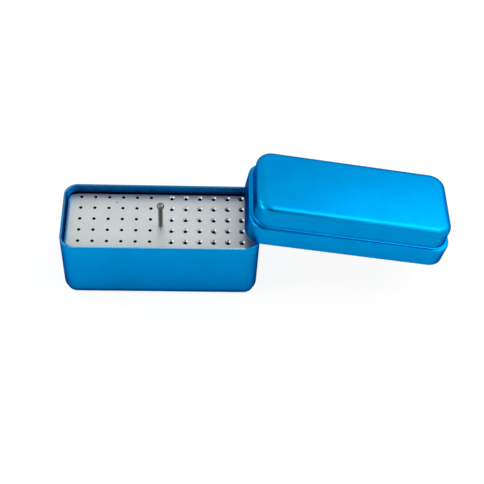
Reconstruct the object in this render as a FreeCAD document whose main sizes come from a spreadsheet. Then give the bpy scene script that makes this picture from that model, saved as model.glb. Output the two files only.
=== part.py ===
"""Endodontic file box: a drawn, anodised box with its lift-off lid and a perforated rack for root canal files.

Millimetres. The origin is the middle of the box's underside, +X runs along the box to the lid, +Z is up.
The lid is taken off: its left end leans on the box's right rim.
"""
import FreeCAD, Part
import math
import os

import Sketcher
from FreeCAD import Placement, Rotation, Vector

os.makedirs("parts", exist_ok=True)
doc = FreeCAD.newDocument("endodontic_file_box")

# Driving dimensions, one row of the sheet each
SIZES = [
    ("box_length", "125", "outside length of the box"),
    ("box_width", "51.6", "outside width of the box"),
    ("box_height", "50", "height of the box to its rim"),
    ("wall", "1.5", "thickness of the drawn sheet"),
    ("corner_radius", "8.7", "outside radius of the upright corners"),
    ("floor_radius", "7", "outside radius where walls meet the floor"),
    ("edge_break", "0.3", "rounding of the trimmed rims"),
    ("lid_clearance", "1.0", "gap between the lid's skirt and the box, each side"),
    ("lid_height", "29.3", "outside height of the lid"),
    ("skirt_height", "14.4", "height of the lid's wide skirt"),
    ("crown_corner", "10.5", "outside radius of the lid's upright corners above the shoulder"),
    ("crown_radius", "4.7", "outside radius round the lid's top"),
    ("shoulder_round", "0.9", "outer radius on the lid's shoulder"),
    ("shoulder_hollow", "0.6", "radius in the corner above the shoulder"),
    ("rack_sheet", "1.2", "thickness of the rack's sheet"),
    ("rack_gap", "1.2", "gap between the rack and the box's walls"),
    ("rack_depth", "6.8", "depth of the rack's top below the rim"),
    ("bend_radius", "1.0", "inside radius of the rack's upper bends"),
    ("foot_length", "14", "reach of each foot from the leg's outer face"),
    ("hole_pitch", "9", "distance between file holes both ways"),
    ("block_gap", "13.4", "distance between the two blocks' inner columns"),
    ("end_land", "7.5", "least distance from a hole's centre to the rack's end"),
    ("back_land", "2.7", "distance from the back row to the rack's back edge"),
    ("front_land", "6", "least bare land in front of the front row, for a fingertip"),
    ("file_hole", "1.9", "diameter of the plain holes"),
    ("sink_hole", "1.9", "bore of the countersunk holes"),
    ("sink_width", "3.9", "width of the countersinks"),
    ("sink_angle", "90", "angle of the countersinks"),
    ("pin_shank", "3.2", "diameter of the lifting pin"),
    ("pin_height", "20.5", "height of the pin above the rack"),
    ("pin_head", "4.8", "diameter of the pin's head"),
    ("head_height", "2.4", "height of the pin's head"),
    ("head_round", "1.6", "rounding of the head's top"),
    ("pin_stud", "2.5", "diameter of the pin's threaded end"),
    ("stud_clearance", "0.1", "gap round the threaded end in its hole"),
    ("thread_gap", "0.05", "gap between the threaded end and the nut"),
    ("nut_flats", "5", "width of the nut across its flats"),
    ("nut_height", "2", "height of the nut"),
    ("stud_reach", "0.6", "length of the threaded end past the nut"),
    ("lid_tilt", "8.6", "slope of the leaning lid along its length, degrees"),
    ("lid_turn", "1.3", "turn of the lid towards the front, degrees"),
    ("lid_overlap", "9.3", "reach of the lid's end over the box's end"),
    ("lid_offset", "6.7", "distance of the lid's end behind the box's middle"),
    ("lid_seat", "0.05", "gap where the lid's edge rests on the rim"),
]
# Sizes that follow from the driving ones
FITS = [
    ("step", "=Sizes.lid_clearance + Sizes.wall", "shoulder of the lid, each side"),
    ("rack_length", "=Sizes.box_length - 2 * (Sizes.wall + Sizes.rack_gap)", "length of the rack"),
    ("rack_width", "=Sizes.box_width - 2 * (Sizes.wall + Sizes.rack_gap)", "width of the rack"),
    ("rack_corner", "=Sizes.corner_radius - Sizes.wall - Sizes.rack_gap", "radius of the rack's corners"),
    ("rack_top", "=Sizes.box_height - Sizes.rack_depth", "height of the rack's top face"),
    ("leg_width", "=rack_width - 2 * rack_corner", "width of the rack's legs"),
    ("foot_bend", "=Sizes.floor_radius - Sizes.wall", "outside radius of the bends above the feet"),
    ("columns", "=floor((rack_length / 2 - Sizes.end_land - Sizes.block_gap / 2) / Sizes.hole_pitch) + 1",
     "columns of holes in each block"),
    ("rows", "=floor((rack_width - Sizes.back_land - Sizes.front_land) / Sizes.hole_pitch) + 1", "rows of holes"),
    ("front_row", "=rack_width / 2 - Sizes.back_land - (rows - 1) * Sizes.hole_pitch", "place of the front row"),
    ("pin_place", "=front_row + (floor(rows / 2) - 0.5) * Sizes.hole_pitch",
     "place of the pin, halfway between two rows"),
]


def fill_sheet(name, rows):
    """Make a spreadsheet with a note, a value and an alias in each row."""
    sheet = doc.addObject("Spreadsheet::Sheet", name)
    for number, (alias, value, note) in enumerate(rows, 1):
        sheet.set(f"A{number}", note)
        sheet.set(f"B{number}", value)
        sheet.setAlias(f"B{number}", alias)
    doc.recompute()
    return sheet


sizes = fill_sheet("Sizes", SIZES)
fits = fill_sheet("Fits", FITS)


def new_body(name):
    """Add a body whose label names its file."""
    body = doc.addObject("PartDesign::Body", name)
    body.Label = name
    return body


def new_sketch(body, name, role, offset=None):
    """Add a sketch on one of the body's own planes, at an offset given as an expression."""
    sketch = body.newObject("Sketcher::SketchObject", name)
    plane = next(item for item in body.Origin.OriginFeatures if item.Role == role)
    sketch.AttachmentSupport = [(plane, "")]
    sketch.MapMode = "FlatFace"
    if offset:
        sketch.setExpression(".AttachmentOffset.Base.z", offset)
    return sketch


def new_feature(body, kind, name, **settings):
    """Add a feature: a text sets an expression, anything else sets the property itself."""
    feature = body.newObject(f"PartDesign::{kind}", name)
    bound = {key: value for key, value in settings.items() if key in ("Length", "Radius", "Diameter", "Value")}
    for key, value in settings.items():
        if key not in bound:
            setattr(feature, key, value)
    for key, value in bound.items():
        feature.setExpression(key, value)
    doc.recompute()
    return feature


def edges(feature, rule):
    """Names of the feature's edges whose bounding box passes the rule."""
    return [f"Edge{number}" for number, edge in enumerate(feature.Shape.Edges, 1) if rule(edge.BoundBox)]


def level(height):
    """Rule for edges that lie flat at one height."""
    return lambda box: abs(box.ZMin - height) < 1e-4 and abs(box.ZMax - height) < 1e-4


def size_constraint(sketch, name, expression, *parts):
    """Add a named dimension to a sketch and bind it to an expression."""
    value = sketch.evalExpression(expression)
    number = sketch.addConstraint(Sketcher.Constraint(*parts, float(value)))
    sketch.renameConstraint(number, name)
    sketch.setExpression(f"Constraints.{name}", expression)


def rounded_rectangle(sketch, length, width, radius):
    """Draw a rectangle with round corners about the sketch's origin; the three sizes are expressions."""
    half_x = float(sketch.evalExpression(length)) / 2
    half_y = float(sketch.evalExpression(width)) / 2
    bend = float(sketch.evalExpression(radius))
    lines = []
    arcs = []
    for quarter, (side_x, side_y) in enumerate([(1, 1), (-1, 1), (-1, -1), (1, -1)]):
        centre = Vector(side_x * (half_x - bend), side_y * (half_y - bend), 0)
        start = quarter * math.pi / 2
        circle = Part.Circle(centre, Vector(0, 0, 1), bend)
        arcs.append(sketch.addGeometry(Part.ArcOfCircle(circle, start, start + math.pi / 2)))
    for number in range(4):
        here = sketch.Geometry[arcs[number]].EndPoint
        there = sketch.Geometry[arcs[(number + 1) % 4]].StartPoint
        lines.append(sketch.addGeometry(Part.LineSegment(here, there)))
    for number in range(4):
        after = (number + 1) % 4
        sketch.addConstraint(Sketcher.Constraint("Tangent", arcs[number], 2, lines[number], 1))
        sketch.addConstraint(Sketcher.Constraint("Tangent", lines[number], 2, arcs[after], 1))
        sketch.addConstraint(Sketcher.Constraint("Horizontal" if number % 2 == 0 else "Vertical", lines[number]))
    for number in (1, 2, 3):
        sketch.addConstraint(Sketcher.Constraint("Equal", arcs[0], arcs[number]))
    sketch.addConstraint(Sketcher.Constraint("Symmetric", arcs[0], 3, arcs[2], 3, -1, 1))
    size_constraint(sketch, "length", length, "DistanceX", lines[1], 1, lines[3], 1)
    size_constraint(sketch, "width", width, "DistanceY", lines[2], 1, lines[0], 1)
    size_constraint(sketch, "radius", radius, "Radius", arcs[0])


def circle_at(sketch, x, y, diameter):
    """Draw one circle; its place and size are expressions."""
    spot = Vector(float(sketch.evalExpression(x)), float(sketch.evalExpression(y)), 0)
    width = float(sketch.evalExpression(diameter))
    circle = sketch.addGeometry(Part.Circle(spot, Vector(0, 0, 1), width / 2))
    size_constraint(sketch, "place_x", x, "DistanceX", -1, 1, circle, 3)
    size_constraint(sketch, "place_y", y, "DistanceY", -1, 1, circle, 3)
    size_constraint(sketch, "width", diameter, "Diameter", circle)


def polyline(sketch, corners):
    """Draw a closed outline of straight lines; each corner is a name and two expressions."""
    points = [Vector(float(sketch.evalExpression(x)), float(sketch.evalExpression(y)), 0) for _, x, y in corners]
    lines = [sketch.addGeometry(Part.LineSegment(points[number - 1], points[number])) for number in range(len(points))]
    for number, (name, x, y) in enumerate(corners):
        after = lines[(number + 1) % len(lines)]
        sketch.addConstraint(Sketcher.Constraint("Coincident", lines[number], 2, after, 1))
        size_constraint(sketch, f"{name}_x", x, "DistanceX", -1, 1, lines[number], 2)
        size_constraint(sketch, f"{name}_y", y, "DistanceY", -1, 1, lines[number], 2)


def mirrored_corners(corners):
    """Corners of the right half from the top down, followed by their mirror images."""
    left = [(f"left_{name}", f"-({x})", y) for name, x, y in reversed(corners)]
    return corners + left


# The box: drawn from one sheet, so the walls, the floor and the bends between them are equally thick
box = new_body("base_box")
plan = new_sketch(box, "box_plan", "XY_Plane")
rounded_rectangle(plan, "Sizes.box_length", "Sizes.box_width", "Sizes.corner_radius")
blank = new_feature(box, "Pad", "box_blank", Profile=plan, Length="Sizes.box_height")
floor_edges = edges(blank, level(0))
bottom = new_feature(box, "Fillet", "box_bottom", Base=(blank, floor_edges), Radius="Sizes.floor_radius")
mouth = [f"Face{number}" for number, face in enumerate(bottom.Shape.Faces, 1)
         if abs(face.BoundBox.ZMin - sizes.box_height) < 1e-4]
shell = new_feature(box, "Thickness", "box_shell", Base=(bottom, mouth), Value="Sizes.wall", Reversed=True, Join=0)
rim_edges = edges(shell, level(sizes.box_height))
new_feature(box, "Fillet", "box_rim", Base=(shell, rim_edges), Radius="Sizes.edge_break")

# The lid, standing on its own mouth: a skirt that goes over the box and a crown as wide as the box
lid = new_body("lid")
skirt_length = "Sizes.box_length + 2 * Fits.step"
skirt_width = "Sizes.box_width + 2 * Fits.step"
plan = new_sketch(lid, "skirt_plan", "XY_Plane")
rounded_rectangle(plan, skirt_length, skirt_width, "Sizes.corner_radius + Fits.step")
new_feature(lid, "Pad", "skirt", Profile=plan, Length="Sizes.skirt_height")
plan = new_sketch(lid, "crown_plan", "XY_Plane")
rounded_rectangle(plan, "Sizes.box_length", "Sizes.box_width", "Sizes.crown_corner")
crown = new_feature(lid, "Pad", "crown", Profile=plan, Length="Sizes.lid_height")
top_edges = edges(crown, level(sizes.lid_height))
top = new_feature(lid, "Fillet", "crown_round", Base=(crown, top_edges), Radius="Sizes.crown_radius")


def beyond_crown(box):
    """True for an edge of the skirt, which stands out past the crown."""
    return box.XMax > sizes.box_length / 2 + 1e-3 or box.XMin < -sizes.box_length / 2 - 1e-3 \
        or box.YMax > sizes.box_width / 2 + 1e-3 or box.YMin < -sizes.box_width / 2 - 1e-3


at_shoulder = level(sizes.skirt_height)
outer_edges = edges(top, lambda box: at_shoulder(box) and beyond_crown(box))
shoulder = new_feature(lid, "Fillet", "shoulder", Base=(top, outer_edges), Radius="Sizes.shoulder_round")
inner_edges = edges(shoulder, lambda box: at_shoulder(box) and not beyond_crown(box)
                    and (abs(box.XMax) > sizes.box_length / 2 - sizes.crown_corner - 1e-3))
hollow = new_feature(lid, "Fillet", "hollow", Base=(shoulder, inner_edges), Radius="Sizes.shoulder_hollow")
plan = new_sketch(lid, "skirt_inside_plan", "XY_Plane")
rounded_rectangle(plan, "Sizes.box_length + 2 * Sizes.lid_clearance", "Sizes.box_width + 2 * Sizes.lid_clearance",
                  "Sizes.corner_radius + Sizes.lid_clearance")
new_feature(lid, "Pocket", "skirt_inside", Profile=plan, Reversed=True, Length="Sizes.skirt_height - Sizes.wall")
plan = new_sketch(lid, "crown_inside_plan", "XY_Plane")
rounded_rectangle(plan, "Sizes.box_length - 2 * Sizes.wall", "Sizes.box_width - 2 * Sizes.wall",
                  "Sizes.crown_corner - Sizes.wall")
inside = new_feature(lid, "Pocket", "crown_inside", Profile=plan, Reversed=True, Length="Sizes.lid_height - Sizes.wall")
ceiling_edges = edges(inside, level(sizes.lid_height - sizes.wall))
ceiling = new_feature(lid, "Fillet", "ceiling_round", Base=(inside, ceiling_edges),
                      Radius="Sizes.crown_radius - Sizes.wall")
mouth_edges = edges(ceiling, level(0))
new_feature(lid, "Fillet", "lid_rim", Base=(ceiling, mouth_edges), Radius="Sizes.edge_break")

# The rack: one sheet, folded down at both ends into legs with feet turned in, and perforated on top
rack = new_body("file_rack")
fold = new_sketch(rack, "fold_profile", "XZ_Plane")
end = "Fits.rack_length / 2"
toe = "Fits.rack_length / 2 - Sizes.foot_length"
corners = [
    ("end_top", end, "Fits.rack_top"),
    ("heel", end, "Sizes.wall"),
    ("toe_low", toe, "Sizes.wall"),
    ("toe_high", toe, "Sizes.wall + Sizes.rack_sheet"),
    ("instep", "Fits.rack_length / 2 - Sizes.rack_sheet", "Sizes.wall + Sizes.rack_sheet"),
    ("under_top", "Fits.rack_length / 2 - Sizes.rack_sheet", "Fits.rack_top - Sizes.rack_sheet"),
]
polyline(fold, mirrored_corners(corners))
folded = new_feature(rack, "Pad", "folded_strip", Profile=fold, Midplane=True, Length="Fits.rack_width")


def across(x, height):
    """Rule for edges that run across the rack at a distance from its middle and a height."""
    flat = level(height)
    return lambda box: flat(box) and box.XLength < 1e-4 and abs(abs(box.XMin) - x) < 1e-4


reach = fits.rack_length / 2
inner = reach - sizes.rack_sheet
bends = [
    ("upper_inside", across(inner, fits.rack_top - sizes.rack_sheet), "Sizes.bend_radius"),
    ("upper_outside", across(reach, fits.rack_top), "Sizes.bend_radius + Sizes.rack_sheet"),
    ("lower_inside", across(inner, sizes.wall + sizes.rack_sheet), "Fits.foot_bend - Sizes.rack_sheet"),
    ("lower_outside", across(reach, sizes.wall), "Fits.foot_bend"),
]
state = folded
for name, rule, radius in bends:
    state = new_feature(rack, "Fillet", name, Base=(state, edges(state, rule)), Radius=radius)

# The legs are narrower than the top: both sides are cut away from the floor up to the sheet on top
sides = new_sketch(rack, "leg_sides", "YZ_Plane")
cut_top = "Fits.rack_top - Sizes.rack_sheet"
for side, sign in (("back", "1"), ("front", "-1")):
    near = f"{sign} * Fits.leg_width / 2"
    far = f"{sign} * Fits.rack_width / 2"
    polyline(sides, [(f"{side}_near_low", near, "0"), (f"{side}_near_high", near, cut_top),
                     (f"{side}_far_high", far, cut_top), (f"{side}_far_low", far, "0")])
new_feature(rack, "Pocket", "side_cut", Profile=sides, Midplane=True, Type="ThroughAll")

# The corners of the top follow the box's corners
plan = new_sketch(rack, "rack_corners", "XY_Plane", "Fits.rack_top")
rounded_rectangle(plan, "Fits.rack_length", "Fits.rack_width", "Fits.rack_corner")
outside = "Fits.rack_length / 2 + Sizes.wall"
beside = "Fits.rack_width / 2 + Sizes.wall"
polyline(plan, [("frame_a", outside, beside), ("frame_b", f"-({outside})", beside),
                ("frame_c", f"-({outside})", f"-({beside})"), ("frame_d", outside, f"-({beside})")])
new_feature(rack, "Pocket", "rack_trim", Profile=plan, Length="2 * Sizes.rack_sheet")

# Two blocks of file holes, plain on the left and countersunk on the right


def hole_block(name, side, hole):
    """Repeat one hole outwards from the middle of the rack and from front to back."""
    grid = new_feature(rack, "LinearPattern", name, Originals=[hole], Direction=(hole.Profile[0], ["H_Axis"]),
                       Reversed=side < 0, Direction2=(hole.Profile[0], ["V_Axis"]), Reversed2=False)
    grid.setExpression("Length", "(Fits.columns - 1) * Sizes.hole_pitch")
    grid.setExpression("Occurrences", "Fits.columns")
    grid.setExpression("Length2", "(Fits.rows - 1) * Sizes.hole_pitch")
    grid.setExpression("Occurrences2", "Fits.rows")
    rack.Tip = grid
    doc.recompute()


spot = new_sketch(rack, "plain_spot", "XY_Plane", "Fits.rack_top")
circle_at(spot, "-Sizes.block_gap / 2", "Fits.front_row", "Sizes.file_hole")
plain = new_feature(rack, "Pocket", "plain_hole", Profile=spot, Length="2 * Sizes.rack_sheet")
hole_block("plain_block", -1, plain)

spot = new_sketch(rack, "sink_spot", "XY_Plane", "Fits.rack_top")
circle_at(spot, "Sizes.block_gap / 2", "Fits.front_row", "Sizes.sink_hole")
sink = rack.newObject("PartDesign::Hole", "sink_hole")
sink.Profile = spot
doc.recompute()
sink.ThreadType = "None"
sink.DepthType = "Dimension"
sink.DrillPoint = "Flat"
sink.HoleCutType = "Countersink"
sink.HoleCutCustomValues = True
sink.setExpression("Diameter", "Sizes.sink_hole")
sink.setExpression("Depth", "2 * Sizes.rack_sheet")
sink.setExpression("HoleCutDiameter", "Sizes.sink_width")
sink.setExpression("HoleCutCountersinkAngle", "Sizes.sink_angle")
doc.recompute()
hole_block("sink_block", 1, sink)

spot = new_sketch(rack, "pin_spot", "XY_Plane", "Fits.rack_top")
circle_at(spot, "0", "Fits.pin_place", "Sizes.pin_stud + 2 * Sizes.stud_clearance")
new_feature(rack, "Pocket", "pin_hole", Profile=spot, Length="2 * Sizes.rack_sheet")

# The lifting pin: turned, with a round-topped head, a shank that seats on the rack and a threaded end
pin = new_body("lift_pin")
profile = new_sketch(pin, "pin_profile", "XZ_Plane")
stud_end = "Fits.rack_top - Sizes.rack_sheet - Sizes.nut_height - Sizes.stud_reach"
pin_top = "Fits.rack_top + Sizes.pin_height"
polyline(profile, [
    ("tip", "0", stud_end),
    ("stud_low", "Sizes.pin_stud / 2", stud_end),
    ("stud_high", "Sizes.pin_stud / 2", "Fits.rack_top"),
    ("seat", "Sizes.pin_shank / 2", "Fits.rack_top"),
    ("neck", "Sizes.pin_shank / 2", f"{pin_top} - Sizes.head_height"),
    ("head_low", "Sizes.pin_head / 2", f"{pin_top} - Sizes.head_height"),
    ("head_high", "Sizes.pin_head / 2", pin_top),
    ("crest", "0", pin_top),
])
turned = new_feature(pin, "Revolution", "pin_turning", Profile=profile, ReferenceAxis=(profile, ["V_Axis"]), Angle=360)
crest_edges = edges(turned, level(fits.rack_top + sizes.pin_height))
new_feature(pin, "Fillet", "head_dome", Base=(turned, crest_edges), Radius="Sizes.head_round")
pin.setExpression("Placement.Base.y", "Fits.pin_place")

# The nut under the rack: a hexagonal bar, bevelled at its lower corners and bored
nut_floor = "Fits.rack_top - Sizes.rack_sheet - Sizes.nut_height"
hexagon = doc.addObject("Part::Prism", "nut_bar")
hexagon.Polygon = 6
hexagon.setExpression("Circumradius", "Sizes.nut_flats / 2 / cos(30)")
bevel = doc.addObject("Part::Cone", "nut_bevel")
bevel.setExpression("Radius1", "Sizes.nut_flats / 2")
bevel.setExpression("Radius2", "Sizes.nut_flats / 2 + Sizes.nut_height * tan(60)")
bore = doc.addObject("Part::Cylinder", "nut_bore")
bore.setExpression("Radius", "Sizes.pin_stud / 2 + Sizes.thread_gap")
for solid in (hexagon, bevel, bore):
    solid.setExpression("Height", "Sizes.nut_height")
    solid.setExpression("Placement.Base.y", "Fits.pin_place")
    solid.setExpression("Placement.Base.z", nut_floor)
bevelled = doc.addObject("Part::Common", "nut_bevelled")
bevelled.Base = hexagon
bevelled.Tool = bevel
nut = doc.addObject("Part::Cut", "pin_nut")
nut.Base = bevelled
nut.Tool = bore
nut.Label = "pin_nut"
doc.recompute()

# The leaning lid: the lower edge of its front wall lies on the box's right end, that of its left end wall
# on the box's back wall, so both contacts are at rim height and the slope along the lid gives the rest
tilt = math.radians(sizes.lid_tilt)
turn = math.radians(sizes.lid_turn)
along = Vector(math.cos(turn), -math.sin(turn), 0)
beside = Vector(math.sin(turn), math.cos(turn), 0)
lid_end = Vector(sizes.box_length / 2 - sizes.lid_overlap, sizes.lid_offset, 0)


def outline_reach(distance, half, half_other):
    """How far the box's outline reaches one way, at a distance from the middle line the other way."""
    past = abs(distance) - (half_other - sizes.corner_radius)
    if past <= 0:
        return half
    return half - sizes.corner_radius + math.sqrt(sizes.corner_radius**2 - past**2)


half_length = sizes.box_length / 2
half_width = sizes.box_width / 2
front_line = lid_end - beside * (half_width + sizes.lid_clearance)
front_y = front_line.y - sizes.lid_overlap * math.tan(turn)
front_contact = Vector(outline_reach(front_y, half_length, half_width), front_y, 0)
end_line = lid_end + along * (sizes.wall * math.cos(tilt))
end_x = end_line.x + (half_width - end_line.y) * math.tan(turn)
end_contact = Vector(end_x, outline_reach(end_x, half_width, half_length), 0)
front_way = front_contact - lid_end
end_way = end_contact - lid_end
between = front_way - end_way
cross_slope = math.tan(tilt) * between.dot(along) / between.dot(beside)
roll = math.atan(cross_slope * math.cos(tilt))
end_height = sizes.box_height + sizes.lid_seat
end_height += math.tan(tilt) * front_way.dot(along) - cross_slope * front_way.dot(beside)
turned_lid = Rotation(Vector(0, 0, 1), -sizes.lid_turn)
turned_lid = turned_lid * Rotation(Vector(0, 1, 0), sizes.lid_tilt)
turned_lid = turned_lid * Rotation(Vector(1, 0, 0), math.degrees(roll))
own_end = Vector(-half_length - fits.step, 0, 0)
lid.Placement = Placement(lid_end + Vector(0, 0, end_height) - turned_lid.multVec(own_end), turned_lid)
doc.recompute()

# Every object has to be sound before anything is written
for item in doc.Objects:
    if "Invalid" in item.State or "Error" in item.State:
        raise RuntimeError(f"{item.Name} failed: {item.State}")
subparts = [box, lid, rack, pin, nut]
for part in subparts:
    if part.Shape.isNull() or not part.Shape.isValid() or len(part.Shape.Solids) != 1:
        raise RuntimeError(f"{part.Label} is not one sound solid")
for part in subparts:
    part.Shape.exportStep(f"parts/{part.Label}.step")
    print(part.Label, round(part.Shape.Volume, 1), "mm3")
print("lid at", lid.Placement)
print(fits.columns, "columns and", fits.rows, "rows in each block")
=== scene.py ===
# %% [markdown]
# # An endodontic file box, dressed in Blender
#
# The object is a small box of drawn and blue anodised aluminium, in which root canal files are kept. Its lid has been
# lifted off and leans on the right rim. Inside stands a rack: one perforated sheet with a headed pin in the middle,
# by which it is lifted out.
#
# The measured solids come in first as a fixed frame. Everything after that is looks: the camera, the light, the
# finishes, the small marks that pressing, drilling and use leave on the metal, and some painted shade, highlight and
# reflection.

# %% Load the measured parts
import math

import bpy
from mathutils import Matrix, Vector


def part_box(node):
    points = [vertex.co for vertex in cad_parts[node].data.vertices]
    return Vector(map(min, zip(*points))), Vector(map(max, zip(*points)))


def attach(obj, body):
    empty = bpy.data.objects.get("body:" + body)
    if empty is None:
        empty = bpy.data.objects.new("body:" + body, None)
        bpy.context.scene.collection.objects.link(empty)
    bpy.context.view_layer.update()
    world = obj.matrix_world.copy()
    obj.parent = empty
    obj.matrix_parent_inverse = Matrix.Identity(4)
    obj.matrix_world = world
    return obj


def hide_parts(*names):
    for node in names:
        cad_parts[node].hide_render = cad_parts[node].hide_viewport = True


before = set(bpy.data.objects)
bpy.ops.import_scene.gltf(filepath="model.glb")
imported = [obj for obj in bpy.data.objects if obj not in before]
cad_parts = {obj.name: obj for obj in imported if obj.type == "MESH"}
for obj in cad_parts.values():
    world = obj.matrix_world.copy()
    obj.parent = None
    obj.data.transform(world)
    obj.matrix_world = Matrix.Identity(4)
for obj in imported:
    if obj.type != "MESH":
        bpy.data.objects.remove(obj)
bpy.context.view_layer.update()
MM = 0.001

# %% [markdown]
# ## The camera
#
# The box is seen from above its long side, 52 degrees down, through a long lens. A long lens keeps the far edges
# nearly as long as the near ones, which is how small products are usually shown. The place and the turn were worked
# out from the box's known edges, so they are written here as plain numbers.

# %% Set up the camera
CAMERA_PLACE = (0.018596, -0.422423, 0.565935)
CAMERA_TURN = (37.94874, -2.74114, -1.11453)
LENS = 78.0668
FILM_WIDTH = 36.0
NEAREST_SEEN = 0.01

camera_data = bpy.data.cameras.new("camera")
camera_data.sensor_width = FILM_WIDTH
camera_data.lens = LENS
camera_data.clip_start = NEAREST_SEEN
camera = bpy.data.objects.new("camera", camera_data)
camera.location = CAMERA_PLACE
camera.rotation_euler = [math.radians(angle) for angle in CAMERA_TURN]
bpy.context.scene.collection.objects.link(camera)
bpy.context.scene.camera = camera
bpy.context.scene.view_settings.view_transform = "Standard"
print("camera at", CAMERA_PLACE)

# %% [markdown]
# ## Shader maths as plain sums
#
# A finish is a sum of noises and masks. Built node by node it is hard to read, so one small class stands for a node's
# output. Python's own signs then add the Math nodes: `1 - grain * 0.2` makes two of them.


# %% Wrap a socket so that sums make nodes
class Wire:
    """One output in a material's node tree."""

    def __init__(self, tree, socket=None):
        self.tree = tree
        self.socket = socket

    def node(self, kind, settings, sockets, outlet=0):
        """Adds a node: its settings come first, then values or wires for its sockets."""
        made = self.tree.nodes.new(kind)
        for name, value in settings.items():
            setattr(made, name, value)
        for key, value in sockets.items():
            if isinstance(value, Wire):
                self.tree.links.new(value.socket, made.inputs[key])
            else:
                made.inputs[key].default_value = value
        return Wire(self.tree, made.outputs[outlet])

    def sum(self, operation, first, second=0.0):
        """A Math node. An operation on one number leaves the second as it is."""
        return self.node("ShaderNodeMath", {"operation": operation}, {0: first, 1: second})

    def __add__(self, other):
        return self.sum("ADD", self, other)

    __radd__ = __add__

    def __mul__(self, other):
        return self.sum("MULTIPLY", self, other)

    __rmul__ = __mul__

    def __sub__(self, other):
        return self.sum("SUBTRACT", self, other)

    def __rsub__(self, other):
        return self.sum("SUBTRACT", other, self)

    def without_sign(self):
        return self.sum("ABSOLUTE", self)

    def or_more(self, other):
        """The larger of two masks."""
        return self.sum("MAXIMUM", self, other)

    def between(self, low, high):
        """0 below low, 1 above high, and smooth in between. High may be the lower one."""
        settings = {"interpolation_type": "SMOOTHSTEP"}
        sockets = {"Value": self, "From Min": low, "From Max": high}
        return self.node("ShaderNodeMapRange", settings, sockets)

    def mixed(self, factor, first, second):
        """A colour between two colours."""
        sockets = {0: factor, 6: first, 7: second}
        return self.node("ShaderNodeMix", {"data_type": "RGBA"}, sockets, outlet=2)

    def noise(self, where, scale, detail=2.0):
        """A noise of so many waves to the metre."""
        return self.node("ShaderNodeTexNoise", {}, {"Vector": where, "Scale": scale, "Detail": detail})

    def place(self):
        """The point's own place on the object, in metres."""
        return self.node("ShaderNodeTexCoord", {}, {}, outlet=3)

    def facing(self):
        """The way the surface faces, on the object's own axes."""
        return self.node("ShaderNodeTexCoord", {}, {}, outlet=1)

    def part(self, vector, axis):
        """One number out of a vector: axis 0, 1 or 2."""
        return self.node("ShaderNodeSeparateXYZ", {}, {"Vector": vector}, outlet=axis)

    def stretched(self, where, scale):
        return self.node("ShaderNodeMapping", {}, {"Vector": where, "Scale": scale})

    def bump(self, height, strength, distance):
        sockets = {"Height": height, "Strength": strength, "Distance": distance}
        return self.node("ShaderNodeBump", {}, sockets)


print("sums on wires make nodes")


# %% Start a metal and feed its sockets
def new_material(name, **constants):
    """A material with these constants on its shader's own sockets, its shader and a first wire."""
    material = bpy.data.materials.new(name)
    material.use_nodes = True
    shader = material.node_tree.nodes["Principled BSDF"]
    for socket, value in constants.items():
        shader.inputs[socket.replace("_", " ")].default_value = value
    return material, shader, Wire(material.node_tree)


def feed(shader, wire, socket):
    wire.tree.links.new(wire.socket, shader.inputs[socket])


def ray_wire(tree, path, kind):
    """1 for rays of this kind, from a Light Path node."""
    return Wire(tree, path.outputs["Is " + kind + " Ray"])


print("shader sums are ready")

# %% [markdown]
# ## The light
#
# Bright metal has hardly any colour of its own to show: it shows what stands round it. So the studio is made with
# care. An even white room lights everything a little. A wide soft box at the right gives the lid its bright side, and
# three smaller ones in front, above and behind make it brighter still towards its right end. Two more stand at the
# left. They mirror in the walls of the countersinks, which face them, and each hole gets its bright right side.

# %% Hang the soft boxes
MIDDLE = (0.05, 0.0, 0.03)
SOFT_BOXES = [  # a name, the direction from the middle, the distance, the width, the height and the brightness
    ("soft_box_right", (0.70, 0.16, 0.70), 1.2, 0.75, 1.25, 1.1),
    ("soft_box_front", (0.60, -0.42, 0.68), 1.1, 0.40, 0.40, 1.1),
    ("soft_box_over", (0.48, -0.02, 0.87), 1.1, 0.50, 0.50, 1.9),
    ("soft_box_back", (0.557, 0.419, 0.717), 0.87, 0.38, 0.36, 1.6),
    ("soft_box_left", (-0.865, -0.249, 0.435), 1.2, 0.36, 0.36, 7.5),
    ("soft_box_left_back", (-0.75, 0.30, 0.59), 1.2, 0.35, 0.50, 1.8),
]


def along(direction, distance):
    """A place that far from the middle of the scene."""
    length = math.sqrt(sum(value * value for value in direction))
    return [start + value / length * distance for start, value in zip(MIDDLE, direction)]


def facing_middle(place):
    """The turn that points a lamp or a card at the middle of the scene."""
    aim = [end - start for start, end in zip(place, MIDDLE)]
    flat = math.hypot(aim[0], aim[1])
    return (math.pi / 2 + math.atan2(aim[2], flat), 0.0, math.atan2(-aim[0], aim[1]))


def add_soft_box(name, direction, distance, width, height, brightness):
    """A soft box of even brightness, where 1 is as bright as the room."""
    data = bpy.data.lights.new(name, "AREA")
    data.shape = "RECTANGLE"
    data.size = width
    data.size_y = height
    data.energy = brightness * math.pi * width * height
    lamp = bpy.data.objects.new(name, data)
    lamp.location = along(direction, distance)
    lamp.rotation_euler = facing_middle(lamp.location)
    bpy.context.scene.collection.objects.link(lamp)


for soft_box in SOFT_BOXES:
    add_soft_box(*soft_box)
print(len(SOFT_BOXES), "soft boxes")

# %% Paint the room white
ROOM_SEEN = 1.0
ROOM_FILL = 0.75
WHITE = (1.0, 1.0, 1.0, 1.0)


def seen_by_camera_or_metal(wire):
    """1 for rays from the camera and for rays that metal or glass sends on."""
    path = wire.tree.nodes.new("ShaderNodeLightPath")
    kinds = ("Camera", "Glossy", "Transmission")
    from_camera, from_metal, from_glass = [ray_wire(wire.tree, path, kind) for kind in kinds]
    return from_camera.or_more(from_metal).or_more(from_glass)


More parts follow.
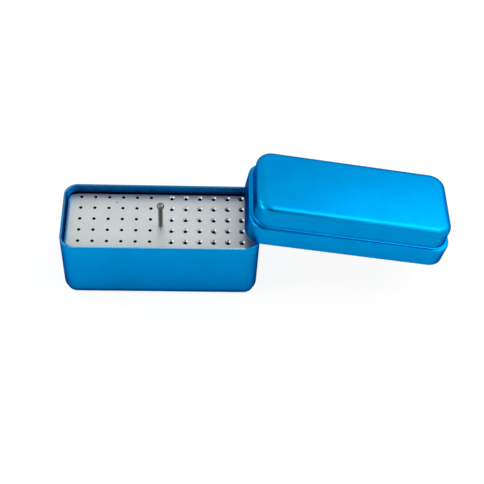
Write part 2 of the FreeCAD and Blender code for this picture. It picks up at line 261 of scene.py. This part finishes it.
world = bpy.data.worlds.new("studio")
world.use_nodes = True
bpy.context.scene.world = world
room = Wire(world.node_tree)
seen = seen_by_camera_or_metal(room)
background = world.node_tree.nodes["Background"]
background.inputs["Color"].default_value = WHITE
feed(background, seen * (ROOM_SEEN - ROOM_FILL) + ROOM_FILL, "Strength")
print("white room, seen at", ROOM_SEEN)

# %% [markdown]
# ## The floor
#
# The floor is white to the camera and in reflections, and it still takes a little shadow under the box. It is a matt
# white mixed with a plain glow, and each kind of ray gets its own share of the two.

# %% Lay the floor
FLOOR_SIDE = 6.0
FLOOR_WHITE = (0.90, 0.905, 0.91, 1.0)
FLOOR_KEEPS = 0.15
METAL_KEEPS = 0.80
FLOOR_GLOW = 1.04


def deselect_all():
    bpy.ops.object.select_all(action="DESELECT")


deselect_all()
bpy.ops.mesh.primitive_plane_add(size=FLOOR_SIDE, location=(0.0, 0.0, 0.0))
floor = bpy.context.object
floor.name = "floor"
floor_material = bpy.data.materials.new("pale_floor")
floor_material.use_nodes = True
tree = floor_material.node_tree
tree.nodes.remove(tree.nodes["Principled BSDF"])
wire = Wire(tree)
matt = wire.node("ShaderNodeBsdfDiffuse", {}, {"Color": FLOOR_WHITE})
glow = wire.node("ShaderNodeEmission", {}, {"Color": WHITE, "Strength": FLOOR_GLOW})
path = tree.nodes.new("ShaderNodeLightPath")
for_camera = ray_wire(tree, path, "Camera")
for_metal = ray_wire(tree, path, "Glossy").or_more(ray_wire(tree, path, "Transmission"))
share = for_camera * (1.0 - FLOOR_KEEPS) + for_metal * (1.0 - METAL_KEEPS)
both = wire.node("ShaderNodeMixShader", {}, {0: share, 1: matt, 2: glow})
tree.links.new(both.socket, tree.nodes["Material Output"].inputs["Surface"])
floor.data.materials.append(floor_material)
print("floor laid,", FLOOR_SIDE, "m wide")

# %% [markdown]
# ## A dim card
#
# The side that the camera looks from is dimmer than the rest of a studio. The rounded front edges of the lid mirror
# that spot, as a thin dark line, and so does the wall inside the box. A dim card stands in for it. It casts no shadow
# and lights nothing.

# %% Hang the dim card
CARD_DIRECTION = (-0.04, -0.62, 0.79)
CARD_AWAY = 1.1
CARD_WIDTH = 0.85
CARD_DEPTH = 0.62
DIM_CLOTH = (0.02, 0.02, 0.025, 1.0)

card_place = along(CARD_DIRECTION, CARD_AWAY)
deselect_all()
bpy.ops.mesh.primitive_plane_add(size=1.0, location=card_place, rotation=facing_middle(card_place))
card = bpy.context.object
card.name = "dim_spot"
card.scale = (CARD_WIDTH, CARD_DEPTH, 1.0)
card_cloth = new_material("dim_cloth", Roughness=1.0, Base_Color=DIM_CLOTH, Specular_IOR_Level=0.0)[0]
card.data.materials.append(card_cloth)
card.visible_camera = False
card.visible_diffuse = False
card.visible_shadow = False
print("dim card,", CARD_WIDTH, "by", CARD_DEPTH, "m")

# %% [markdown]
# ## The blue anodising
#
# Aluminium is etched, then a clear oxide grows on it, takes up blue dye and is sealed. The metal still shines
# through, so this is a metal shader with a blue colour, not a blue paint. Etching leaves it satin. The dye takes a
# little unevenly, in wide clouds and in a fine grain.

# %% The blue that both pressings share
BLUE = (0.0004, 0.262, 0.610, 1.0)
BLUE_DEEP = (0.0003, 0.225, 0.545, 1.0)
BLUE_GLANCING = (0.015, 0.14, 0.27, 1.0)
CLOUDS = 60.0
GRAINS = 2600.0
CLOUD_EDGES = (0.35, 0.7)
CLOUD_SHARE = 0.5
GRAIN_SHARE = 0.25
BLUE_SATIN = 0.27
CLOUD_ROUGH = 0.03
GRAIN_ROUGH = 0.06
GRAIN_STRENGTH = 0.05
GRAIN_HIGH = 0.03 * MM


def dyed_metal(name):
    """The dyed and sealed metal, with its wires for more to be added."""
    material, shader, wire = new_material(name, Metallic=1.0, Specular_Tint=BLUE_GLANCING)
    where = wire.place()
    cloud = wire.noise(where, CLOUDS, 3.0)
    grain = wire.noise(where, GRAINS)
    uneven = cloud.between(*CLOUD_EDGES) * CLOUD_SHARE + grain * GRAIN_SHARE
    feed(shader, cloud * CLOUD_ROUGH + grain * GRAIN_ROUGH + BLUE_SATIN, "Roughness")
    feed(shader, wire.bump(grain, GRAIN_STRENGTH, GRAIN_HIGH), "Normal")
    return material, shader, wire, where, wire.mixed(uneven, BLUE, BLUE_DEEP)


print("one blue for two pressings")

# %% [markdown]
# ## The lid's blue
#
# The end of the lid that leans on the box carries faint deeper streaks, which run across it: a painted reflection.
# They are a noise that is stretched sideways and kept to that end.

# %% The blue of the lid
# a darker blue, for painted reflection on the lid's end and for painted shade in the box
BLUE_PAINTED_SHADE_AND_REFLECTION = (0.002, 0.060, 0.250, 1.0)
LID_END = (0.0585, 0.0565)
STREAK_STRETCH = (1.0, 0.12, 0.5)
STREAKS = 700.0
STREAK_EDGES = (0.35, 0.65)
PAINTED_REFLECTION_SHARE = 0.25


def blue_for_lid(name):
    """The lid's end that leans on the box is streaked with a painted reflection."""
    material, shader, wire, where, colour = dyed_metal(name)
    at_end = wire.part(where, 0).between(*LID_END)
    painted_reflection_streaks = wire.noise(wire.stretched(where, STREAK_STRETCH), STREAKS).between(*STREAK_EDGES)
    # painted reflection: darker streaks on the end of the lid that leans on the box
    feed(shader, wire.mixed(at_end * painted_reflection_streaks * PAINTED_REFLECTION_SHARE, colour, BLUE_PAINTED_SHADE_AND_REFLECTION), "Base Color")
    return material


blue_lid = blue_for_lid("blue_lid")
print("lid finish:", blue_lid.name)

# %% [markdown]
# ## The box's blue
#
# The box shows more of its making. The trimmed rim was buffed, and its front is pale: partly rubbed nearly bare by
# the lid and by fingers, partly a painted highlight. Towards the floor bend the blue is painted deeper, as painted
# shade.
# The wall behind the rack is painted darker down to the rack, as painted shade. Each of these is a mask on a height,
# a depth or a direction, so it stays fixed on the box when the light changes.

# %% The blue of the box
# painted shade: a deeper blue towards the floor bend
BLUE_PAINTED_SHADE_LOW = (0.0005, 0.150, 0.390, 1.0)
# painted shade on the wall behind the rack
BLUE_WALL_PAINTED_SHADE = (0.005, 0.185, 0.530, 1.0)
RIM_BUFFED = (0.035, 0.20, 0.42, 1.0)
# the pale front of the rim: partly wear, partly a painted highlight
RIM_WEAR_AND_PAINTED_HIGHLIGHT = (0.42, 0.62, 0.76, 1.0)
RIM_HEIGHTS = (0.04945, 0.0497)
WORN_DEPTHS = (-0.0185, -0.0240)
WORN_RUN = (0.0575, 0.0530)
RUBBING_STRETCH = (1.0, 0.2, 0.2)
RUBBINGS = 900.0
RUBBING_LEAST = 0.8
RUBBING_MORE = 0.4
LID_COVERS = (0.0545, 0.0515)
PAINTED_SHADE_LOW_HEIGHTS = (0.017, -0.002)
PAINTED_SHADE_LOW_SHARE = 0.8
FACES_FRONT = (-0.3, -0.8)
BACK_HALF = (0.0, 0.01)
WALL_SHADE_HEIGHTS = (0.0490, 0.0436)


def blue_for_box(name):
    """A buffed rim, its front pale from wear and a painted highlight; painted shade low down and behind the rack."""
    material, shader, wire, where, colour = dyed_metal(name)
    along_x, along_y, height = [wire.part(where, axis) for axis in range(3)]
    rubbing = wire.noise(wire.stretched(where, RUBBING_STRETCH), RUBBINGS) * RUBBING_MORE + RUBBING_LEAST
    front = along_y.between(*WORN_DEPTHS) * along_x.without_sign().between(*WORN_RUN) * rubbing
    # the pale front of the rim: partly wear, partly a painted highlight
    edge = wire.mixed(front, RIM_BUFFED, RIM_WEAR_AND_PAINTED_HIGHLIGHT)
    # painted shade: the blue grows deeper towards the floor
    with_painted_shade_low = wire.mixed(height.between(*PAINTED_SHADE_LOW_HEIGHTS) * PAINTED_SHADE_LOW_SHARE, colour, BLUE_PAINTED_SHADE_LOW)
    # painted shade: the wall behind the rack is darker, darkest down at the rack
    painted_shade_behind_rack = wire.part(wire.facing(), 1).between(*FACES_FRONT) * along_y.between(*BACK_HALF)
    painted_wall_shade = wire.mixed(height.between(*WALL_SHADE_HEIGHTS), BLUE_WALL_PAINTED_SHADE, BLUE_PAINTED_SHADE_AND_REFLECTION)
    buffed = height.between(*RIM_HEIGHTS) * along_x.between(*LID_COVERS)
    feed(shader, wire.mixed(buffed, wire.mixed(painted_shade_behind_rack, with_painted_shade_low, painted_wall_shade), edge), "Base Color")
    return material


blue_box = blue_for_box("blue_box")
print("box finish:", blue_box.name)

# %% [markdown]
# ## The bare sheet of the rack
#
# The rack is undyed, with a fine grain along its length. Its right and front parts are painted darker, as painted
# shade, and there is a small nick and a faint round stain. The drilled walls of the holes are painted dark, and so is
# a ring
# round each one: painted shade that makes each hole look darker and wider. Sixty rings are not placed one by one: the
# distance to the nearest hole of an even row gives them all at once.

# %% Find the nearest hole
RACK_TOP = 43.2 * MM
PITCH = 9.0 * MM
FIRST_HOLE = (6.7 * MM, -15.6 * MM)
ROWS_BEFORE = 20.5


def from_nearest(number, start):
    """How far a number is from the nearest of a row of holes."""
    shifted = number + (PITCH * ROWS_BEFORE - start)
    return shifted.sum("MODULO", shifted, PITCH) - PITCH / 2


def length(first, second):
    return first.sum("SQRT", first * first + second * second)


def spot(along_x, along_y, place, radius):
    """1 in a small round spot on the rack, and 0 elsewhere."""
    return length(along_x - place[0], along_y - place[1]).between(radius, radius * 0.4)


print("holes every", PITCH / MM, "mm")

# %% The satin finish
SHEET = (0.60, 0.635, 0.63, 1.0)
SHEET_DEEP = (0.50, 0.53, 0.535, 1.0)
# painted shade on the rack's right and front
SHEET_PAINTED_SHADE = (0.37, 0.405, 0.41, 1.0)
# painted shade in the bores and round each hole; the nick is drawn in the same dark
BORE_PAINTED_SHADE_AND_NICK = (0.012, 0.013, 0.015, 1.0)
STAIN = (0.30, 0.29, 0.31, 1.0)
FIELD_ENDS = (57.2 * MM, 57.0 * MM)
RING = (1.25 * MM, 0.95 * MM)
WALL_STEEP = (0.35, 0.15)
WALL_BELOW = (RACK_TOP - 0.02 * MM, RACK_TOP - 0.12 * MM)
NICK, NICK_RADIUS = (34.4 * MM, -8.4 * MM), 0.9 * MM
SPECK, SPECK_RADIUS = (-28.7 * MM, 16.1 * MM), 1.6 * MM
SHEET_CLOUDS = 45.0
SHEET_GRAINS = 3000.0
SHEET_STRETCH = (0.12, 1.0, 1.0)
SHEET_SATIN = 0.34


def satin_sheet(name):
    material, shader, wire = new_material(name, Metallic=1.0)
    where = wire.place()
    along_x, along_y, height = [wire.part(where, axis) for axis in range(3)]
    from_middle = along_x.without_sign()
    cloud = wire.noise(where, SHEET_CLOUDS, 3.0)
    grain = wire.noise(wire.stretched(where, SHEET_STRETCH), SHEET_GRAINS)
    colour = wire.mixed(cloud.between(0.3, 0.75) * 0.4 + grain * 0.4, SHEET, SHEET_DEEP)
    # painted shade: the right and front of the rack are darker
    painted_shade_right_front = along_x.between(0.0, 0.062) * 0.55 + along_y.between(-0.008, -0.022) * 0.35
    colour = wire.mixed(painted_shade_right_front, colour, SHEET_PAINTED_SHADE)
    # painted shade: the bores and a ring round each hole are dark; the nick is a real mark drawn dark with them
    walls = wire.part(wire.facing(), 2).without_sign().between(*WALL_STEEP) * height.between(*WALL_BELOW)
    reach = length(from_nearest(from_middle, FIRST_HOLE[0]), from_nearest(along_y, FIRST_HOLE[1]))
    nick = spot(along_x, along_y, NICK, NICK_RADIUS)
    painted_bore_shade_and_nick = walls.or_more(reach.between(*RING)).or_more(nick) * from_middle.between(*FIELD_ENDS)
    stained = wire.mixed(spot(along_x, along_y, SPECK, SPECK_RADIUS) * 0.5, colour, STAIN)
    feed(shader, wire.mixed(painted_bore_shade_and_nick, stained, BORE_PAINTED_SHADE_AND_NICK), "Base Color")
    feed(shader, cloud * 0.1 + grain * 0.1 + painted_bore_shade_and_nick * 0.3 + SHEET_SATIN, "Roughness")
    feed(shader, wire.bump(grain, 0.15, 0.05 * MM), "Normal")
    return material


sheet = satin_sheet("satin_sheet")
print("rack finish:", sheet.name)

# %% [markdown]
# ## The pin's steel
#
# The pin and its nut are turned from steel, left bare and gone grey in use. The tool's rings run round them, so the
# noise is stretched until only its changes along the height are left.

# %% The turned finish
STEEL = (0.235, 0.225, 0.20, 1.0)
STEEL_DEEP = (0.105, 0.10, 0.09, 1.0)
RING_STRETCH = (0.15, 0.15, 1.0)
TOOL_RINGS = 4000.0


def turned_steel(name):
    material, shader, wire = new_material(name, Metallic=1.0)
    rings = wire.noise(wire.stretched(wire.place(), RING_STRETCH), TOOL_RINGS)
    feed(shader, wire.mixed(rings.between(0.3, 0.7), STEEL, STEEL_DEEP), "Base Color")
    feed(shader, rings * 0.1 + 0.28, "Roughness")
    feed(shader, wire.bump(rings, 0.2, 0.05 * MM), "Normal")
    return material


steel = turned_steel("turned_steel")
print("pin finish:", steel.name)

# %% [markdown]
# ## How sheet metal is modelled here
#
# The box and the lid are each pressed from one sheet, so each is made as a press would leave it: an outline with
# round corners, drawn up to its height, then given the sheet's thickness on the inside, then rounded at its outer
# bends. The order matters. A wall given its thickness before the bends are rounded stays even, and each bend can have
# its own radius. The edges inside the floor and inside the crown are left sharp, as the thickness makes them. Under
# the crown that does no harm. At the box's floor, where the outer bend is wide, the sharp edge comes 0.8 mm through
# it, and a bend on the inside as well would cure that.

# %% Tools for drawing a sheet up
CORNER_STEPS = 14


def edit(mode="EDIT"):
    bpy.ops.object.mode_set(mode=mode)


def edit_all():
    edit()
    bpy.ops.mesh.select_all(action="SELECT")


def rounded_plate(name, length, width, radius, height):
    """A flat plate with round corners, lying at a height."""
    deselect_all()
    bpy.ops.mesh.primitive_plane_add(size=1.0, location=(0.0, 0.0, height))
    plate = bpy.context.object
    plate.name = name
    plate.scale = (length, width, 1.0)
    bpy.ops.object.transform_apply(location=True, rotation=True, scale=True)
    edit_all()
    bpy.ops.mesh.bevel(offset=radius, segments=CORNER_STEPS, affect="VERTICES", clamp_overlap=False)
    edit("OBJECT")
    return plate


def raise_wall(height):
    """Draws the active plate up to a height."""
    edit_all()
    bpy.ops.mesh.extrude_region_move(TRANSFORM_OT_translate={"value": (0.0, 0.0, height)})
    edit("OBJECT")


def face_outwards():
    edit_all()
    bpy.ops.mesh.normals_make_consistent(inside=False)
    edit("OBJECT")


def give_thickness(piece, thickness):
    solid = piece.modifiers.new("sheet", "SOLIDIFY")
    solid.thickness = thickness
    solid.offset = -1.0
    solid.use_even_offset = True
    solid.use_quality_normals = True
    bpy.ops.object.modifier_apply(modifier="sheet")


print("corners in", CORNER_STEPS, "steps")

# %% [markdown]
# A bend is found by where it lies. A rule is a small function on the points of a vertex, an edge or a face, and only
# what passes it is selected.

# %% Tools for picking and rounding
NEAR = 0.01 * MM


def pick(piece, kind, rule):
    """In edit mode, selects only the vertices, edges or faces that pass a rule on their points."""
    modes = {"VERT": (True, False, False), "EDGE": (False, True, False), "FACE": (False, False, True)}
    edit()
    bpy.context.tool_settings.mesh_select_mode = modes[kind]
    bpy.ops.mesh.select_all(action="DESELECT")
    edit("OBJECT")
    mesh = piece.data
    items = {"VERT": mesh.vertices, "EDGE": mesh.edges, "FACE": mesh.polygons}[kind]
    for item in items:
        numbers = [item.index] if kind == "VERT" else item.vertices
        item.select = rule([mesh.vertices[number].co for number in numbers])
    edit()


def at_height(height):
    return lambda points: all(abs(point.z - height) < NEAR for point in points)


def drop_faces(piece, rule):
    pick(piece, "FACE", rule)
    bpy.ops.mesh.delete(type="ONLY_FACE")
    edit("OBJECT")


def round_bend(piece, radius, steps, rule):
    """Rounds the edges that pass the rule."""
    pick(piece, "EDGE", rule)
    bpy.ops.mesh.bevel(offset=radius, segments=steps, affect="EDGES", clamp_overlap=False, loop_slide=False)
    edit("OBJECT")


def smooth(piece, degrees):
    """Shades the piece smooth where its faces turn by less than an angle."""
    deselect_all()
    piece.select_set(True)
    bpy.context.view_layer.objects.active = piece
    bpy.ops.object.shade_smooth_by_angle(angle=math.radians(degrees))


def hand_over(piece, finish, node):
    """Gives the piece its finish and lets it stand for a node of the frame."""
    piece.data.materials.clear()
    piece.data.materials.append(finish)
    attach(piece, "root")
    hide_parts(node)
    print(piece.name, "has", len(piece.data.polygons), "faces")


# %% [markdown]
# ## The box
#
# The box is the deeper of the two pressings. Its walls are upright, its floor is flat, and the bend between them is
# nearly as wide as the corners. The rim is trimmed and then rolled round, and that round edge is what catches the
# light in front of the rack.

# %% Press the box
BOX_LENGTH = 125.0 * MM
BOX_WIDTH = 51.6 * MM
BOX_HEIGHT = 50.0 * MM
BOX_CORNER = 8.7 * MM
FLOOR_BEND = 7.0 * MM
SHEET_THICK = 1.5 * MM
RIM_ROUND = 0.62 * MM
BEND_STEPS = 10
RIM_STEPS = 4
SHELL_SHARP = 40.0


def corner_reach(point):
    """How far a point stands past the round corners of the box's outline; below zero inside it."""
    dx = abs(point.x) - (BOX_LENGTH / 2 - BOX_CORNER)
    dy = abs(point.y) - (BOX_WIDTH / 2 - BOX_CORNER)
    return math.hypot(max(dx, 0.0), max(dy, 0.0)) - BOX_CORNER


def runs_along_wall(points):
    """True for an edge that runs along the wall, not across the rim."""
    return abs(corner_reach(points[0]) - corner_reach(points[-1])) < SHEET_THICK / 3


def round_rim(piece, height):
    level = at_height(height)
    round_bend(piece, RIM_ROUND, RIM_STEPS, lambda points: level(points) and runs_along_wall(points))


base = rounded_plate("base_shell", BOX_LENGTH, BOX_WIDTH, BOX_CORNER, 0.0)
raise_wall(BOX_HEIGHT)
drop_faces(base, at_height(BOX_HEIGHT))
face_outwards()
give_thickness(base, SHEET_THICK)
round_bend(base, FLOOR_BEND, BEND_STEPS, at_height(0.0))
round_rim(base, BOX_HEIGHT)
smooth(base, SHELL_SHARP)
hand_over(base, blue_box, "base_box")

# %% [markdown]
# ## The lid
#
# The lid is pressed in two steps. Its wide skirt goes over the box, and its crown is as long and as wide as the box
# itself. The shoulder between them sits on the box's rim. Two outlines are drawn up and then bridged, so the shoulder
# joins points that face each other, even though the crown's corners are rounder than the skirt's.

# %% Draw and join the lid's two steps
SKIRT_HEIGHT = 14.4 * MM
LID_HEIGHT = 29.3 * MM
STEP = 2.5 * MM
CROWN_CORNER = 10.5 * MM

skirt = rounded_plate("lid_shell", BOX_LENGTH + 2 * STEP, BOX_WIDTH + 2 * STEP, BOX_CORNER + STEP, 0.0)
raise_wall(SKIRT_HEIGHT)
drop_faces(skirt, at_height(SKIRT_HEIGHT))
drop_faces(skirt, at_height(0.0))
crown = rounded_plate("crown", BOX_LENGTH, BOX_WIDTH, CROWN_CORNER, SKIRT_HEIGHT)
raise_wall(LID_HEIGHT - SKIRT_HEIGHT)
drop_faces(crown, at_height(SKIRT_HEIGHT))
deselect_all()
crown.select_set(True)
skirt.select_set(True)
bpy.context.view_layer.objects.active = skirt
bpy.ops.object.join()
lid = bpy.context.object
pick(lid, "EDGE", at_height(SKIRT_HEIGHT))
bpy.ops.mesh.bridge_edge_loops()
edit("OBJECT")
face_outwards()
give_thickness(lid, SHEET_THICK)
print("lid drawn,", LID_HEIGHT / MM, "mm high")

# %% [markdown]
# The shoulder is softened twice: on its outside, where it turns down into the skirt, and in the hollow where the
# crown rises. Then the lid is leant on the box's rim, and its place is applied to its mesh.

# %% Round the lid's bends and lean it on the box
CROWN_BEND = 4.7 * MM
SHOULDER_ROUND = 1.6 * MM
SHOULDER_HOLLOW = 0.85 * MM
LID_PLACE = (117.453 * MM, 5.2419 * MM, 41.0456 * MM)
LID_TURN = (-1.46012, 8.6, -1.3)

shoulder = at_height(SKIRT_HEIGHT)


def past_crown(points):
    return shoulder(points) and all(corner_reach(point) > STEP / 2 for point in points)


def beside_crown(points):
    return shoulder(points) and all(corner_reach(point) < STEP / 2 for point in points)


round_bend(lid, CROWN_BEND, BEND_STEPS, at_height(LID_HEIGHT))
round_bend(lid, SHOULDER_ROUND, RIM_STEPS, past_crown)
round_bend(lid, SHOULDER_HOLLOW, RIM_STEPS, beside_crown)
round_rim(lid, 0.0)
lid.rotation_euler = [math.radians(angle) for angle in LID_TURN]
lid.location = LID_PLACE
bpy.ops.object.transform_apply(location=True, rotation=True, scale=True)
smooth(lid, SHELL_SHARP)
hand_over(lid, blue_lid, "lid")

# %% Measure both shells against the solids
for piece, node in ((base, "base_box"), (lid, "lid")):
    low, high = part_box(node)
    points = [vertex.co for vertex in piece.data.vertices]
    for axis, name in enumerate("xyz"):
        values = [point[axis] for point in points]
        below = round((min(values) - low[axis]) / MM, 3)
        above = round((max(values) - high[axis]) / MM, 3)
        print(piece.name, name, "off by", below, "and", above, "mm")

# %% [markdown]
# ## The rack
#
# The rack's top runs close to the box's ends, and only a thin dark gap shows there. A copy of the measured rack is
# merged into one skin and let out at both ends. Its holes stay where they are.

# %% Let the rack's ends out
ENDS_FROM = 56.0 * MM
ENDS_OUT = 0.85 * MM
RACK_SHARP = 35.0

rack = bpy.data.objects.new("rack_sheet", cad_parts["file_rack"].data.copy())
bpy.context.scene.collection.objects.link(rack)
deselect_all()
rack.select_set(True)
bpy.context.view_layer.objects.active = rack
if rack.data.has_custom_normals:
    bpy.ops.mesh.customdata_custom_splitnormals_clear()
edit_all()
bpy.ops.mesh.remove_doubles(threshold=NEAR / 10)
edit("OBJECT")
for side in (-1, 1):
    pick(rack, "VERT", lambda points: points[0].x * side > ENDS_FROM)
    bpy.ops.transform.translate(value=(side * ENDS_OUT, 0.0, 0.0))
    edit("OBJECT")
smooth(rack, RACK_SHARP)
hand_over(rack, sheet, "file_rack")

# %% [markdown]
# ## The finishes
#
# The pin and the nut keep their measured shape, and only take on the steel. The replaced nodes get the finish of the
# piece that stands for them, so that nothing is left plain.

# %% Give each node its finish
FINISHES = {"base_box": blue_box, "lid": blue_lid, "file_rack": sheet, "lift_pin": steel, "pin_nut": steel}
for node, finish in FINISHES.items():
    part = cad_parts[node]
    part.data.materials.clear()
    part.data.materials.append(finish)
    print(node, "has", finish.name)
